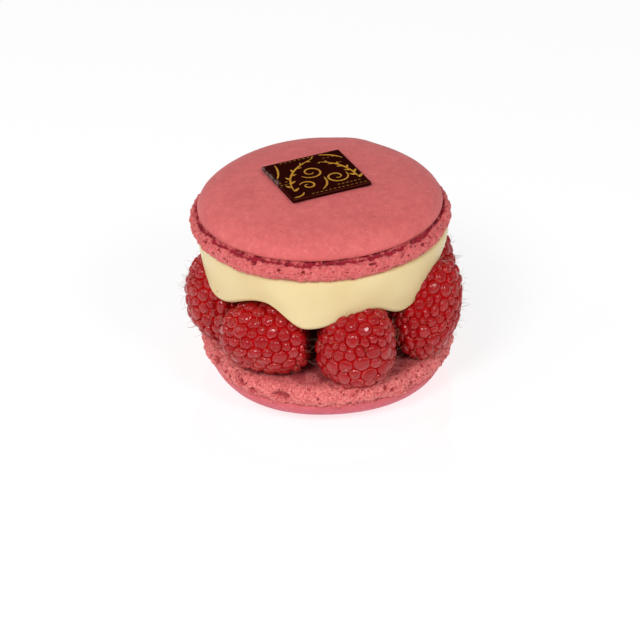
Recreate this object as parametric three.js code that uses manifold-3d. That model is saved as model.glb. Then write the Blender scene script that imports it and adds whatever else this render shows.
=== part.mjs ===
// Raspberry macaron dessert for one person. Two almond shells hold a ring of seven raspberries and
// vanilla cream, and a square of dark chocolate lies on the upper shell.
// Millimetres, +Z up. The origin is the middle of the flat spot that the lower shell rests on, and
// the front faces -Y. Angles in the tables are in degrees, from +X towards +Y.

import * as THREE from "three";
import { ConvexHull } from "three/addons/math/ConvexHull.js";
import { mergeVertices } from "three/addons/utils/BufferGeometryUtils.js";
import Module from "manifold-3d";

const wasm = await Module();
wasm.setup();

// Driving dimensions
const shellDiameter = 75;
const clearance = 0.3; // left between two pieces that meet
const shellSegments = 60;

// A shell's cap has steep sides, a shoulder and a low dome, and is flat inside restRadius. It is
// shifted a little on its foot, towards +Y before the lower shell is turned upside down.
const lowerShell = {
  radius: shellDiameter / 2 - 1.3,
  footHeight: 5.1,
  shoulderRise: 6.2,
  domeRise: 1,
  capInset: 1.3,
  capShift: 0.8,
  restRadius: 20,
  crumb: 0.5,
  seed: 11,
  outline: (angle) => 0.4 * wave(angle, 3, 40) + 0.3 * wave(angle, 5, 110),
};
const upperShell = {
  radius: shellDiameter / 2,
  footHeight: 5.5,
  shoulderRise: 5.3,
  domeRise: 2.2,
  capInset: 2.1,
  capShift: 0.9,
  restRadius: 8,
  crumb: 0.5,
  seed: 23,
  outline: (angle) =>
    0.2 * wave(angle, 3, 20) +
    corner(angle, 71, 9, 1.1) -
    corner(angle, 135, 34, 1.5) -
    corner(angle, 35, 25, 0.3),
};
const footUndercut = 2.2;
const footRounding = 0.5;
const creaseDepth = 0.8;
const shoulderFullness = 9; // the power of the curve from the cap's steep side into its top
const capRings = 7;

// The upper shell sits a little to the left, and is higher over the tall raspberries on the right.
const lean = 1.7;
const lowerShellTop = heightOf(lowerShell);
const upperShellBottom = 46.7;
const upperShellMiddle = [-2.1, 1.5];

// The raspberries, round the ring from the front. A middle is a place on the lower shell's top, and
// a tip is the direction that the closed end points in, [right, back, up].
const raspberries = [
  { middle: [8.5, -28.2], length: 25, width: 22.6, tip: [0.1, -0.25, 1] },
  { middle: [-17.4, -22.2], length: 26.3, width: 22.4, tip: [-1, 0.1, -0.1] },
  { middle: [-29.6, -2], length: 28, width: 23.4, tip: [-0.25, 0, 1] },
  { middle: [-20.4, 21], length: 25.5, width: 23, tip: [-0.2, 0.3, 1] },
  { middle: [5.4, 29], length: 25, width: 23, tip: [0.1, 0.4, 1] },
  { middle: [27.3, 12.6], length: 28.5, width: 22.4, tip: [0.15, 0.1, 1] },
  { middle: [27.4, -13.6], length: 30, width: 22.4, tip: [-0.12, -0.35, -1] },
];
const raspberryTaper = 0.14; // how much the open end is wider than the middle, and the tip narrower
const openEnd = 0.82; // where the open end is cut flat, as a share of half the length
const firstBerrySeed = 101;

// Drupelets, the small beads of a raspberry. Each one is domed from its top to domeShare of the way
// to its corners, where it is domeDrop lower, and its corners are depth lower.
const drupelet = { count: 98, unevenness: 0.3, domeShare: 0.6, domeDrop: 0.25, depth: 1.15 };

// The cream's lower edge hangs down between the raspberries and lifts over them.
const creamHem = [
  { angle: -153, height: 29.6, radius: 34.6 },
  { angle: -119, height: 36, radius: 34.6 },
  { angle: -98, height: 29.6, radius: 34.8 },
  { angle: -66, height: 34.4, radius: 34.6 },
  { angle: -46, height: 30.2, radius: 33.8 },
  { angle: -16, height: 35.6, radius: 34 },
  { angle: 8, height: 34, radius: 34.2 },
  { angle: 34, height: 36, radius: 33.8 },
  { angle: 57, height: 31, radius: 33 },
  { angle: 80, height: 35.6, radius: 33.6 },
  { angle: 105, height: 30.4, radius: 33 },
  { angle: 129, height: 35.4, radius: 33.6 },
  { angle: 154, height: 30.6, radius: 33.8 },
  { angle: 180, height: 36, radius: 35.4 },
];
const cream = { middle: [-1.2, 1.4], topRadius: 36, coreRadius: 15, roll: 1.4, segments: 84 };
const swellShares = [0.2, 0.45, 0.72]; // places between the hem and the top where its side is set

const chocolate = { width: 24.3, depth: 22.9, thickness: 0.7, turn: 24, middle: [-0.6, 1.7] };

const colors = { shell: 0xd9666f, raspberry: 0xb3141f, cream: 0xeedcab, chocolate: 0x2e130d };

const radians = THREE.MathUtils.degToRad;

// A wave that goes round the edge a whole number of times.
function wave(angle, times, start) {
  return Math.cos(times * angle + radians(start));
}

// One soft corner on a round edge, or a flatter stretch where it is taken off.
function corner(angle, middle, halfWidth, height) {
  const off = THREE.MathUtils.euclideanModulo(angle - radians(middle) + Math.PI, 2 * Math.PI) - Math.PI;
  return height * Math.exp(-((off / radians(halfWidth)) ** 2));
}

// The same row of numbers between 0 and 1 for the same seed.
function seededRandom(seed) {
  const prime = 2147483647;
  const factor = 16807;
  let state = seed;
  return () => {
    state = (state * factor) % prime;
    return state / prime;
  };
}

// How high the cap stands over the crease, at a share of the way from the axis to the cap's edge.
function capHeight({ shoulderRise, domeRise }, out) {
  return shoulderRise * Math.sqrt(1 - out ** shoulderFullness) + domeRise * (1 - out ** 2);
}

function heightOf(shell) {
  return shell.footHeight + capHeight(shell, shell.restRadius / shell.radius);
}

function geometryOf(points, faces) {
  return new THREE.BufferGeometry()
    .setAttribute("position", new THREE.Float32BufferAttribute(points.flat(), 3))
    .setIndex(faces.flat());
}

// Closed surface round the Z axis. profileAt(angle) lists [radius, height] from the axis at the
// bottom to the axis at the top, with as many places at every angle.
function turned(profileAt, segments) {
  const points = [];
  const columns = [];
  for (let step = 0; step < segments; step++) {
    const angle = (step / segments) * 2 * Math.PI;
    const profile = profileAt(angle);
    columns.push(
      profile.map(([radius, height], row) => {
        const onAxis = row === 0 || row === profile.length - 1;
        if (onAxis && step > 0) return columns[0][row];
        points.push([radius * Math.cos(angle), radius * Math.sin(angle), height]);
        return points.length - 1;
      }),
    );
  }
  const faces = [];
  columns.forEach((column, step) => {
    const next = columns[(step + 1) % segments];
    for (let row = 0; row < column.length - 1; row++) {
      const [a, b, c, d] = [column[row], next[row], next[row + 1], column[row + 1]];
      if (a !== b) faces.push([a, b, c]);
      if (c !== d) faces.push([a, c, d]);
    }
  });
  return geometryOf(points, faces);
}

// A shell with its cap up: flat underside, crumbly foot, a crease, and the smooth cap.
function shellGeometry(shell) {
  const { radius, footHeight, capInset, capShift, restRadius, crumb, seed, outline } = shell;
  const random = seededRandom(seed);
  const rough = (share = 1) => share * crumb * (2 * random() - 1);
  const inner = restRadius / radius;
  return turned((angle) => {
    const edge = radius + outline(angle);
    const capEdge = edge - capInset + capShift * Math.sin(angle);
    const profile = [
      [0, 0],
      [edge - footUndercut, 0],
      [edge - footRounding + rough(), 0.18 * footHeight + rough(0.3)],
      [edge + rough(), 0.5 * footHeight],
      [edge - footRounding + rough(), 0.82 * footHeight],
      [capEdge - creaseDepth + rough(0.4), 0.97 * footHeight],
    ];
    for (let ring = 0; ring <= capRings; ring++) {
      const out = 1 - (1 - inner) * (ring / capRings) ** 3;
      profile.push([capEdge * out, footHeight + capHeight(shell, out)]);
    }
    return [...profile, [0, heightOf(shell)]];
  }, shellSegments);
}

// Evenly spread directions on a sphere, shaken a little so that the drupelets differ in size.
function spreadDirections({ count, unevenness }, seed) {
  const random = seededRandom(seed);
  const goldenAngle = Math.PI * (3 - Math.sqrt(5));
  const shake = (unevenness * 2) / Math.sqrt(count);
  return Array.from({ length: count }, (_, index) => {
    const up = 1 - (2 * index + 1) / count;
    const across = Math.sqrt(1 - up * up);
    return new THREE.Vector3(
      across * Math.cos(index * goldenAngle) + shake * (2 * random() - 1),
      across * Math.sin(index * goldenAngle) + shake * (2 * random() - 1),
      up + shake * (2 * random() - 1),
    ).normalize();
  });
}

// The point of a raspberry's outer form in a direction, moved out by lift. Its tip is at +Z.
function raspberryPoint({ length, width }, direction, lift = 0) {
  const across = (width / 2) * (1 - raspberryTaper * direction.z) + lift;
  const up = Math.max(direction.z, -openEnd) * (length / 2 + lift);
  return [direction.x * across, direction.y * across, up];
}

// Triangles between neighbouring directions, each as three indices that turn left seen from outside.
function neighbourTriangles(directions) {
  const indexOf = new Map(directions.map((direction, index) => [direction, index]));
  return new ConvexHull().setFromPoints(directions).faces.map(({ edge }) =>
    [edge, edge.next, edge.prev].map((side) => indexOf.get(side.head().point)),
  );
}

// A raspberry. A drupelet's border runs through the corners that it shares with its neighbours. Those
// that face outSide are domes, and the ones turned to the filling are plain points.
function raspberryGeometry(berry, outSide, seed) {
  const tops = spreadDirections(drupelet, seed);
  const triangles = neighbourTriangles(tops);
  const points = [];
  const add = (direction, lift) => points.push(raspberryPoint(berry, direction, lift)) - 1;

  const topIndex = tops.map((direction) => add(direction, 0));
  const corners = triangles.map(([a, b, c]) =>
    tops[b].clone().sub(tops[a]).cross(tops[c].clone().sub(tops[a])).normalize(),
  );
  const cornerIndex = corners.map((direction) => add(direction, -drupelet.depth));
  const domeIndex = new Map();
  const sideOf = new Map();
  triangles.forEach((triangle, t) =>
    triangle.forEach((a, place) => {
      sideOf.set(`${a} ${triangle[(place + 1) % 3]}`, t);
      if (tops[a].dot(outSide) < 0) return;
      const onDome = tops[a].clone().lerp(corners[t], drupelet.domeShare).normalize();
      domeIndex.set(`${a} ${t}`, add(onDome, -drupelet.domeDrop));
    }),
  );

  const faces = [];
  for (const [side, left] of sideOf) {
    const [a, b] = side.split(" ");
    const right = sideOf.get(`${b} ${a}`);
    const [domeLeft, domeRight] = [domeIndex.get(`${a} ${left}`), domeIndex.get(`${a} ${right}`)];
    if (domeLeft === undefined) {
      faces.push([topIndex[a], cornerIndex[right], cornerIndex[left]]);
    } else {
      faces.push([topIndex[a], domeRight, domeLeft]);
      faces.push([domeLeft, domeRight, cornerIndex[right]]);
      faces.push([domeLeft, cornerIndex[right], cornerIndex[left]]);
    }
  }
  return geometryOf(points, faces);
}

// The smooth form round a raspberry, which the cream is pressed against.
function raspberryHollow(berry) {
  const sphere = new THREE.IcosahedronGeometry(1, 3);
  const { position } = sphere.attributes;
  const sagitta = 0.2; // the flat faces of the form lie this much inside its curve
  for (let i = 0; i < position.count; i++) {
    const direction = new THREE.Vector3().fromBufferAttribute(position, i).normalize();
    position.setXYZ(i, ...raspberryPoint(berry, direction, clearance + sagitta));
  }
  return sphere;
}

function mesh(name, geometry, color, roughness) {
  const material = new THREE.MeshStandardMaterial({ color, roughness, metalness: 0 });
  const made = new THREE.Mesh(geometry, material);
  made.name = name;
  return made;
}

// A raspberry at its place in the ring, with its tip turned, set down on the lower shell.
function placedRaspberry(berry, index) {
  const up = new THREE.Vector3(0, 0, 1);
  const tip = new THREE.Vector3(...berry.tip).normalize();
  const turn = new THREE.Quaternion().setFromUnitVectors(up, tip);
  const outSide = new THREE.Vector3(...berry.middle, 0).applyQuaternion(turn.clone().invert());
  const geometry = raspberryGeometry(berry, outSide, firstBerrySeed + index);
  const made = mesh(`raspberry_${index + 1}`, geometry, colors.raspberry, 0.35);
  made.quaternion.copy(turn);
  const { min } = new THREE.Box3().setFromObject(made, true);
  made.position.set(...berry.middle, lowerShellTop + clearance - min.z);
  made.updateMatrix();
  return made;
}

// A value that swings smoothly from one place of a closed list to the next.
function between(places, angle, key) {
  const turn = THREE.MathUtils.euclideanModulo(THREE.MathUtils.radToDeg(angle) - places[0].angle, 360);
  const next = places.findIndex((place) => place.angle - places[0].angle > turn);
  const from = places.at(next === -1 ? -1 : next - 1);
  const to = places[next === -1 ? 0 : next];
  const span = THREE.MathUtils.euclideanModulo(to.angle - from.angle, 360);
  const share = (turn - (from.angle - places[0].angle)) / span;
  return THREE.MathUtils.lerp(from[key], to[key], (1 - Math.cos(Math.PI * share)) / 2);
}

// The height of the leaning upper shell's underside over a place on the X axis.
function undersideAt(x) {
  return upperShellBottom + Math.tan(radians(lean)) * (x - upperShellMiddle[0]);
}

// The cream before the raspberries are pressed in: a core, and a brim with a rounded hem that hangs
// over them.
function creamGeometry() {
  return turned((angle) => {
    const hem = between(creamHem, angle, "height");
    const hemRadius = between(creamHem, angle, "radius");
    const topAt = (radius) => undersideAt(cream.middle[0] + radius * Math.cos(angle)) - clearance;
    const swell = swellShares.map((share) => {
      const radius = hemRadius + (cream.topRadius - hemRadius) * Math.sqrt(1 - (1 - share) ** 2);
      return [radius, hem + share * (topAt(radius) - hem)];
    });
    return [
      [0, lowerShellTop + clearance],
      [cream.coreRadius, lowerShellTop + clearance],
      [cream.coreRadius, hem],
      [hemRadius - 5 * cream.roll, hem + 0.4 * cream.roll],
      [hemRadius - 2.4 * cream.roll, hem],
      [hemRadius - 0.8 * cream.roll, hem + 0.5 * cream.roll],
      ...swell,
      [cream.topRadius, topAt(cream.topRadius) - cream.roll],
      [cream.topRadius - cream.roll, topAt(cream.topRadius - cream.roll)],
      [0, topAt(0)],
    ];
  }, cream.segments);
}

// Geometry to a solid for joining and cutting, and back.
function solidOf(geometry) {
  const bare = new THREE.BufferGeometry()
    .setAttribute("position", geometry.getAttribute("position"))
    .setIndex(geometry.index);
  const merged = mergeVertices(bare);
  const vertProperties = merged.getAttribute("position").array;
  const triVerts = new Uint32Array(merged.index.array);
  return new wasm.Manifold(new wasm.Mesh({ numProp: 3, vertProperties, triVerts }));
}

function geometryFrom(solid) {
  const { vertProperties, triVerts } = solid.getMesh();
  return new THREE.BufferGeometry()
    .setAttribute("position", new THREE.BufferAttribute(vertProperties, 3))
    .setIndex(new THREE.BufferAttribute(triVerts, 1));
}

const dessert = new THREE.Group();

const lower = mesh("lower_shell", shellGeometry(lowerShell), colors.shell, 0.8);
lower.rotation.x = Math.PI;
lower.position.z = lowerShellTop;
dessert.add(lower);

let creamSolid = solidOf(creamGeometry().translate(...cream.middle, 0));
raspberries.forEach((berry, index) => {
  const made = placedRaspberry(berry, index);
  dessert.add(made);
  creamSolid = creamSolid.subtract(solidOf(raspberryHollow(berry).applyMatrix4(made.matrix)));
});
dessert.add(mesh("cream", geometryFrom(creamSolid), colors.cream, 0.4));

const top = new THREE.Group();
top.position.set(...upperShellMiddle, upperShellBottom);
top.rotation.y = -radians(lean);
dessert.add(top);

top.add(mesh("upper_shell", shellGeometry(upperShell), colors.shell, 0.8));

const squareGeometry = new THREE.BoxGeometry(chocolate.width, chocolate.depth, chocolate.thickness);
const square = mesh("chocolate_square", squareGeometry, colors.chocolate, 0.25);
square.rotation.z = radians(chocolate.turn);
square.position.set(...chocolate.middle, heightOf(upperShell) + clearance + chocolate.thickness / 2);
top.add(square);

export default dessert;
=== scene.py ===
# Raspberry macaron dessert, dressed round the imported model: two almond shells, vanilla cream, a
# ring of seven raspberries and a square of dark chocolate with a gold print.
# Sizes here are in millimetres and become metres as each mesh is made. The front faces -Y.

import math
import bpy
import numpy as np
from mathutils import Matrix, Vector


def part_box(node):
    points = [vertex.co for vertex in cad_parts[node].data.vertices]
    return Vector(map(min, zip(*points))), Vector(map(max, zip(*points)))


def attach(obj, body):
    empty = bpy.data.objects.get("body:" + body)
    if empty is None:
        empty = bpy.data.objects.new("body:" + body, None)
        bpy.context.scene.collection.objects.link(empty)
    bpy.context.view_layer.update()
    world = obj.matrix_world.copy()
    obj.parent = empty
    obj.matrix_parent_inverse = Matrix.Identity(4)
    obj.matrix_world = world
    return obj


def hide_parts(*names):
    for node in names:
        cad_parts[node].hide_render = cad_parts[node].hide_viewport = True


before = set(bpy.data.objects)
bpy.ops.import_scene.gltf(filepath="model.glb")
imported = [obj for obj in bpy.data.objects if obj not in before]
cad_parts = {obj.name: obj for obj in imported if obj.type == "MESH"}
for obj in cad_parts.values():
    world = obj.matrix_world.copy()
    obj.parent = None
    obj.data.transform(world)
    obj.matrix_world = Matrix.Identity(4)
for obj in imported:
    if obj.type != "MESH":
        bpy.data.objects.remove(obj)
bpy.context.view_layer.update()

mm = 0.001
body = "root"
shellGap = 0.3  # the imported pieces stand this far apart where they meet


def say(stage):
    print("macaron:", stage)


# Node trees. A Value is an output of a node, and arithmetic with it adds the nodes that do it.

class Value:
    def __init__(self, socket):
        self.socket = socket

    def __add__(self, other):
        return calc("ADD", self, other)

    def __sub__(self, other):
        return calc("SUBTRACT", self, other)

    def __rsub__(self, other):
        return calc("SUBTRACT", other, self)

    def __mul__(self, other):
        return calc("MULTIPLY", self, other)

    def __truediv__(self, other):
        return calc("DIVIDE", self, other)

    def __rtruediv__(self, other):
        return calc("DIVIDE", other, self)

    def __pow__(self, other):
        return calc("POWER", self, other)

    def __lt__(self, other):
        return calc("LESS_THAN", self, other)

    def __gt__(self, other):
        return calc("GREATER_THAN", self, other)


def treeOf(*values):
    return next(value.socket.id_data for value in values if isinstance(value, Value))


def plug(socket, value):
    if isinstance(value, Value):
        socket.id_data.links.new(value.socket, socket)
    else:
        socket.default_value = value


def addNode(tree, kind, inputs=None, **settings):  # gives the new node's outputs by name
    node = tree.nodes.new(kind)
    for name, value in settings.items():
        setattr(node, name, value)
    for name, value in (inputs or {}).items():
        plug(next(socket for socket in node.inputs if socket.name == name and socket.enabled), value)
    return {socket.name: Value(socket) for socket in node.outputs if socket.enabled}


def make(tree, kind, inputs=None, **settings):  # gives its first output
    return next(iter(addNode(tree, kind, inputs, **settings).values()))


def calc(operation, *values, kind="ShaderNodeMath", **settings):
    node = treeOf(*values).nodes.new(kind)
    node.operation = operation
    for name, value in settings.items():
        setattr(node, name, value)
    for socket, value in zip(node.inputs, values):
        plug(socket, value)
    return Value(next(socket for socket in node.outputs if socket.enabled))


def largest(first, *others):
    for other in others:
        first = calc("MAXIMUM", first, other)
    return first


def vectorCalc(operation, *values):
    return calc(operation, *values, kind="ShaderNodeVectorMath")


def scaled(vector, factor):
    values = {"Vector": vector, "Scale": factor}
    return make(treeOf(vector, factor), "ShaderNodeVectorMath", values, operation="SCALE")


def fromAxis(spot):  # its distance from the upright axis
    return vectorCalc("LENGTH", vectorCalc("MULTIPLY", spot, (1.0, 1.0, 0.0)))


def vectorOf(tree, **parts):
    return make(tree, "ShaderNodeCombineXYZ", parts)


def partsOf(vector):
    return addNode(treeOf(vector), "ShaderNodeSeparateXYZ", {"Vector": vector})


def ramp(value, low, high, newLow=0.0, newHigh=1.0):  # a soft step from low to high
    sizes = {"Value": value, "From Min": low, "From Max": high, "To Min": newLow, "To Max": newHigh}
    return make(treeOf(value), "ShaderNodeMapRange", sizes, interpolation_type="SMOOTHSTEP")


def noise(spot, scale, detail=2.0, roughness=0.5):
    sizes = {"Vector": spot, "Scale": scale, "Detail": detail, "Roughness": roughness}
    return addNode(treeOf(spot), "ShaderNodeTexNoise", sizes)


def cells(spot, scale):
    return addNode(treeOf(spot), "ShaderNodeTexVoronoi", {"Vector": spot, "Scale": scale})


def mixColor(share, first, second):
    values = {"Factor": share, "A": first, "B": second}
    return make(treeOf(share), "ShaderNodeMix", values, data_type="RGBA")


def layered(color, *coats):  # each coat, a mask and a colour, over the last
    for share, coat in coats:
        color = mixColor(share, color, coat)
    return color


def newGroup(name, kind, sizes, result, resultKind="NodeSocketFloat"):  # gives its named inputs too
    tree = bpy.data.node_groups.new(name, kind)
    if kind == "GeometryNodeTree":
        tree.interface.new_socket("Geometry", in_out="INPUT", socket_type="NodeSocketGeometry")
    for label, value in sizes.items():
        number = "NodeSocketInt" if isinstance(value, int) else "NodeSocketFloat"
        tree.interface.new_socket(label, in_out="INPUT", socket_type=number).default_value = value
    tree.interface.new_socket(result, in_out="OUTPUT", socket_type=resultKind)
    return tree, addNode(tree, "NodeGroupInput")


# Meshes

def addObject(name, data):
    piece = bpy.data.objects.new(name, data)
    bpy.context.scene.collection.objects.link(piece)
    return piece


def meshObject(name, points, faces):
    mesh = bpy.data.meshes.new(name)
    mesh.from_pydata((np.asarray(points, float) * mm).tolist(), [], [list(face) for face in faces])
    mesh.shade_smooth()
    return addObject(name, mesh)


def setAttribute(piece, name, values, kind="FLOAT"):
    field = "vector" if kind == "FLOAT_VECTOR" else "value"
    attribute = piece.data.attributes.new(name, kind, "POINT")
    attribute.data.foreach_set(field, np.asarray(values, np.float32).ravel())


def pointsOf(piece):  # in millimetres
    points = np.zeros(len(piece.data.vertices) * 3, np.float32)
    piece.data.vertices.foreach_get("co", points)
    return points.reshape(-1, 3).astype(float) / mm


def turnedSurface(rings):  # rings of [radius, height] columns, from the axis below to the axis above
    segments = len(rings[0][0])
    angles = 2 * math.pi * np.arange(segments) / segments
    radius = np.array([ring[0] for ring in rings])
    height = np.array([ring[1] for ring in rings])
    grid = np.stack([radius * np.cos(angles), radius * np.sin(angles), height], axis=2).reshape(-1, 3)
    below = [0, 0, height[0].mean()]
    above = [0, 0, height[-1].mean()]
    points = np.vstack([grid, below, above])
    row = np.arange(len(rings) - 1)[:, None] * segments
    column = np.arange(segments)[None, :]
    after = (column + 1) % segments
    quads = np.stack([row + column, row + after, row + segments + after, row + segments + column], axis=2)
    column, after, last = column[0], after[0], (len(rings) - 1) * segments
    lowFan = np.stack([np.full(segments, len(grid)), after, column], axis=1)
    highFan = np.stack([np.full(segments, len(grid) + 1), last + column, last + after], axis=1)
    return points, quads.reshape(-1, 4).tolist() + lowFan.tolist() + highFan.tolist()


def perVertex(rings):  # one value for each vertex of a turned surface, from a list of rings
    values = np.array(rings)
    return np.concatenate([values.ravel(), [values[0].mean(), values[-1].mean()]])


def smoothPath(stations, count):  # a soft curve through places of shape [place, 2, segment]
    stations = np.asarray(stations)
    first, final = stations[:1], stations[-1:]
    padded = np.concatenate([2 * first - stations[1:2], stations, 2 * final - stations[-2:-1]])
    rings = []
    for place in np.linspace(0, len(stations) - 1, count):
        start = min(int(place), len(stations) - 2)
        t = place - start
        a, b, c, d = padded[start:start + 4]
        bend, twist = 2 * a - 5 * b + 4 * c - d, 3 * b - a - 3 * c + d
        rings.append(0.5 * (2 * b + (c - a) * t + bend * t**2 + twist * t**3))
    return rings


# Geometry Nodes trees

def geo(tree, kind, inputs=None, **settings):
    return make(tree, "GeometryNode" + kind, inputs, **settings)


def newTree(name, sizes):
    return newGroup(name, "GeometryNodeTree", sizes, "Geometry", "NodeSocketGeometry")


def finishTree(tree, geometry, material):
    realized = geo(tree, "RealizeInstances", {"Geometry": geometry})
    coated = geo(tree, "SetMaterial", {"Geometry": realized, "Material": material})
    addNode(tree, "NodeGroupOutput", {"Geometry": coated})
    return tree


def applyTree(piece, tree, values):
    modifier = piece.modifiers.new(tree.name, "NODES")
    modifier.node_group = tree
    for item in tree.interface.items_tree:
        if item.in_out == "INPUT" and item.name in values:
            modifier[item.identifier] = values[item.name]
    return bakeModifiers(piece)


def bakeModifiers(piece):  # a plain mesh object of the same name takes the piece's place
    evaluated = piece.evaluated_get(bpy.context.evaluated_depsgraph_get())
    made = bpy.data.meshes.new_from_object(evaluated)
    made.shade_smooth()
    name = piece.name
    bpy.data.objects.remove(piece)
    return addObject(name, made)


def namedField(tree, name, kind="FLOAT"):
    return geo(tree, "InputNamedAttribute", {"Name": name}, data_type=kind)


def stored(geometry, name, value, selection=True, domain="POINT"):
    values = {"Geometry": geometry, "Selection": selection, "Name": name, "Value": value}
    return geo(treeOf(geometry), "StoreNamedAttribute", values, domain=domain)


def randomField(low, high, seed):
    sizes = {"Min": low, "Max": high, "Seed": seed}
    return make(treeOf(seed), "FunctionNodeRandomValue", sizes, data_type="FLOAT")


def seededPlace(seed, shift):  # positions that another seed moves elsewhere in the noise
    return vectorCalc("ADD", geo(treeOf(seed), "InputPosition"), scaled(shift, seed))


def pushedOut(geometry, height):
    tree = treeOf(geometry)
    move = scaled(geo(tree, "InputNormal"), height)
    return geo(tree, "SetPosition", {"Geometry": geometry, "Offset": move})


def dress(piece, material, slot, *nodes):
    piece.data.materials.clear()
    piece.data.materials.append(material)
    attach(piece, body)
    if nodes:
        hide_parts(*nodes)


# Shader groups that several materials share

def finishGroup(tree, label, value):
    addNode(tree, "NodeGroupOutput", {label: value})
    return tree


def makeGrainGroup():  # fine uneven grain, as a height round 0.5
    tree, source = newGroup("fineGrain", "ShaderNodeTree", {"Size": 0.0004, "Contrast": 1.0}, "Grain")
    coarse = noise(place(tree), 1.0 / source["Size"], 3.0, 0.6)["Fac"]
    return finishGroup(tree, "Grain", calc("ADD", (coarse - 0.5) * source["Contrast"], 0.5, use_clamp=True))


def makeSpeckGroup():  # small round specks, one in some of the cells of a loose grid
    sizes = {"Spacing": 0.003, "Speck Size": 0.12, "Share": 0.4}
    tree, source = newGroup("scatteredSpecks", "ShaderNodeTree", sizes, "Mask")
    spot = place(tree)
    moved = vectorCalc("ADD", spot, scaled(noise(spot, 900.0)["Color"], 0.0003))
    grid = cells(moved, 1.0 / source["Spacing"])
    draw = addNode(tree, "ShaderNodeSeparateColor", {"Color": grid["Color"]})
    reach = source["Speck Size"] * (draw["Green"] + 0.4)
    inside = calc("SUBTRACT", 1.0, grid["Distance"] / reach, use_clamp=True)
    return finishGroup(tree, "Mask", ramp(inside, 0.0, 0.5) * (draw["Red"] < source["Share"]))


def place(tree):
    return addNode(tree, "ShaderNodeTexCoord")["Object"]


grainGroup = makeGrainGroup()
speckGroup = makeSpeckGroup()


def grain(tree, size, contrast=1.0):
    return make(tree, "ShaderNodeGroup", {"Size": size * mm, "Contrast": contrast}, node_tree=grainGroup)


def specks(tree, spacing, size, share):
    values = {"Spacing": spacing * mm, "Speck Size": size, "Share": share}
    return make(tree, "ShaderNodeGroup", values, node_tree=speckGroup)


def newMaterial(name, **uniform):
    material = bpy.data.materials.new(name)
    material.use_nodes = True
    shader = material.node_tree.nodes["Principled BSDF"]
    for label, value in uniform.items():
        shader.inputs[label.replace("_", " ")].default_value = value
    return material, material.node_tree, shader


def ownAttribute(tree, name):
    return addNode(tree, "ShaderNodeAttribute", attribute_name=name)["Fac"]


def linkBump(shader, height, strength, distance):
    values = {"Height": height, "Strength": strength, "Distance": distance * mm}
    plug(shader.inputs["Normal"], make(treeOf(height), "ShaderNodeBump", values))


def linear(red, green, blue):  # a colour as picked on screen, for a node's socket
    values = []
    for part in (red, green, blue):
        share = part / 255
        values.append(share / 12.92 if share <= 0.04045 else ((share + 0.055) / 1.055) ** 2.4)
    return (*values, 1.0)


# Macaron shells

shells = {
    "segments": 840,
    "footUndercut": 2.2,
    "footRounding": 0.5,
    "shoulderFullness": 9,
    "relief": {  # of the foam, in metres
        "Swell Size": 0.0055,
        "Swell Height": 0.0005,
        "Crumb Size": 0.0015,
        "Crumb Height": 0.0006,
        "Pore Spacing": 0.0023,
        "Pore Radius": 0.00045,
        "Pore Depth": 0.0007,
        "Hollow Depth": 0.0017,
        "Ripple Size": 0.011,
        "Ripple Height": 0.0002,
        "Border Wobble": 0.0009,
        "Border Step": 0.0,
        "Crack Below": 0.0009,
        "Crack Wobble": 0.0022,
        "Crack Width": 0.0008,
        "Crack Depth": 0.0006,
    },
    "skin": linear(222, 108, 105),
    "skinDeep": linear(200, 86, 88),
    "skinLight": linear(238, 134, 128),
    # a darker, more purple underside: painted shade and sheen
    "underShadeAndSheen": linear(204, 92, 122),
    "crumb": linear(242, 140, 134),
    "crumbDeep": linear(204, 82, 84),
    # dark reds painted as the shade in pits, pores, hollows and the crack, also used for the cap's dark
    # specks
    "pitShade": linear(160, 18, 42),
    "pitShadeDeep": linear(96, 4, 24),
    "pinholeShade": linear(122, 12, 30),
    "juiceAndShade": linear(150, 22, 38),
}
lowerShell = {
    "radius": 36.2,
    "footHeight": 5.1,
    "shoulderRise": 6.2,
    "domeRise": 1.0,
    "capInset": 1.3,
    "capShift": 0.8,
    "creaseDepth": 0.3,
    "restRadius": 20,
    "seed": 11,
    "relief": {
        "Crack Depth": 0.0, "Border Wobble": 0.005, "Border Step": 0.0007, "Swell Height": 0.0009,
        "Pore Radius": 0.00052, "Pore Depth": 0.0009,
    },
    "waves": [(3, 40, 0.4), (5, 110, 0.3)],  # times round, start in degrees, height
    "corners": [],
    # Places where the baked foam is torn open, as [angle, height, width, rise] in the dessert's frame
    "hollows": [
        (-110.5, 9.7, 5.2, 2.6), (-132, 9.9, 2.6, 2.0), (-124, 9.0, 3.2, 1.8), (-152, 10.6, 2.6, 1.6),
        (-80, 8.2, 1.5, 1.1), (-73.6, 8.2, 1.0, 0.9), (-49, 9.2, 2.2, 1.4), (-84, 7.6, 1.0, 0.7),
        (-20, 9.0, 2.4, 1.6), (22, 9.4, 3.0, 1.8), (58, 8.8, 2.0, 1.4), (97, 9.6, 4.2, 2.2),
        (128, 8.8, 2.2, 1.4), (161, 9.8, 3.2, 1.8), (-172, 9.2, 1.8, 1.2),
    ],
}
upperShell = {
    "radius": 37.5,
    "footHeight": 5.5,
    "shoulderRise": 5.3,
    "domeRise": 2.2,
    "capInset": 2.1,
    "capShift": 0.9,
    "creaseDepth": 0.55,
    "restRadius": 0,
    "seed": 23,
    "relief": {"Pore Radius": 0.0005, "Pore Depth": 0.0008},
    "waves": [(3, 20, 0.2)],
    "corners": [(71, 9, 1.1), (135, 34, -1.5), (35, 25, -0.3)],  # middle and half width in degrees, height
    "hollows": [
        (-120, 50.6, 1.9, 1.2), (-108, 50.2, 1.2, 0.9), (-97, 50.4, 1.0, 0.9), (-66, 51.2, 2.4, 0.8),
        (-38, 51.4, 1.8, 0.9), (-150, 50.0, 1.6, 1.0), (14, 50.8, 2.2, 1.1), (66, 50.6, 1.8, 1.0),
        (112, 50.2, 2.6, 1.2), (163, 50.0, 1.6, 1.0),
    ],
}
upperPlace = {"middle": (-2.1, 1.5), "bottom": 46.7, "lean": 1.7}


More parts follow.
